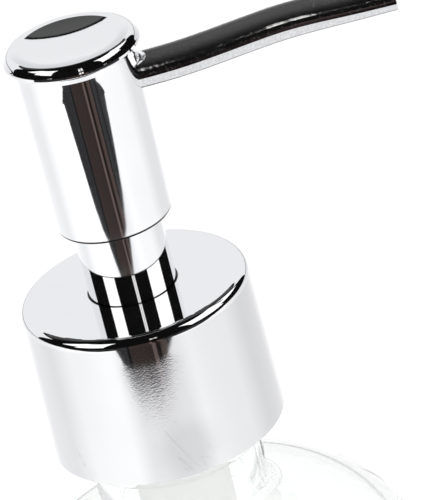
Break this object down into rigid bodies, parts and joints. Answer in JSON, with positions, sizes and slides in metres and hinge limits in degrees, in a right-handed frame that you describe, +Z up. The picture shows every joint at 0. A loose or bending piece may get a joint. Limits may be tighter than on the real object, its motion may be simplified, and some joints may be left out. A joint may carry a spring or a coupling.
{
  "type": "soap pump dispenser",
  "caption": "Round-shouldered glass bottle with a screw-on lotion pump: press-down chrome head, long arched spout, metal cap, dip tube, return spring and ball valves.",
  "frame": {"origin": "centre of the ring that the bottle stands on, on the bottle's axis", "axes": "+Z up along the bottle's axis, +X along the spout"},
  "size_m": [0.0895, 0.075, 0.217],
  "materials": {
    "clear_glass": "clear, polished, faint green edge",
    "chrome": "polished mirror",
    "satin_metal": "satin sides, polished flat top",
    "white_plastic": "moulded, opaque",
    "natural_plastic": "moulded, milky",
    "gasket_foam": "matt foam",
    "seal_rubber": "matt",
    "spring_steel": "drawn wire",
    "valve_steel": "ground ball"
  },
  "bodies": {
    "bottle": {"glass_bottle": "clear_glass"},
    "pump": {"pump_housing": "natural_plastic", "chaplet": "natural_plastic", "stem_wiper": "seal_rubber", "collar_sleeve": "chrome", "neck_gasket": "gasket_foam", "ball_retainer": "natural_plastic", "dip_tube": "natural_plastic"},
    "closure": {"cap_shell": "satin_metal", "threaded_closure": "white_plastic"},
    "inlet_valve": {"inlet_ball": "valve_steel"},
    "piston_group": {"piston": "white_plastic", "spring_cup": "white_plastic", "return_spring": "spring_steel"},
    "outlet_valve": {"outlet_ball": "valve_steel"},
    "head": {"stem": "white_plastic", "actuator_core": "white_plastic", "barrel_shell": "chrome", "barrel_guide_ring": "white_plastic", "head_cap": "chrome", "spout_shell": "chrome", "spout_tube": "natural_plastic", "nozzle_tip": "white_plastic"}
  },
  "joints": [
    {"name": "pump_lift", "type": "slide", "parent": "bottle", "child": "pump", "axis": [0, 0, 1], "range_m": [0, 0.175]},
    {"name": "cap_turn", "type": "hinge", "parent": "pump", "child": "closure", "pos_m": [0, 0, 0.1699], "axis": [0, 0, 1], "range_deg": [0, 540]},
    {"name": "inlet_ball_lift", "type": "slide", "parent": "pump", "child": "inlet_valve", "axis": [0, 0, 1], "range_m": [0, 0.0012]},
    {"name": "head_press", "type": "slide", "parent": "pump", "child": "piston_group", "axis": [0, 0, 1], "range_m": [-0.0125, 0], "stiffness_N_per_m": 600, "springref_m": 0.006, "deforming": ["return_spring"]},
    {"name": "outlet_ball_lift", "type": "slide", "parent": "piston_group", "child": "outlet_valve", "axis": [0, 0, 1], "range_m": [0, 0.0011]},
    {"name": "head_swivel", "type": "hinge", "parent": "piston_group", "child": "head", "pos_m": [0, 0, 0.153], "axis": [0, 0, 1], "continuous": true}
  ]
}
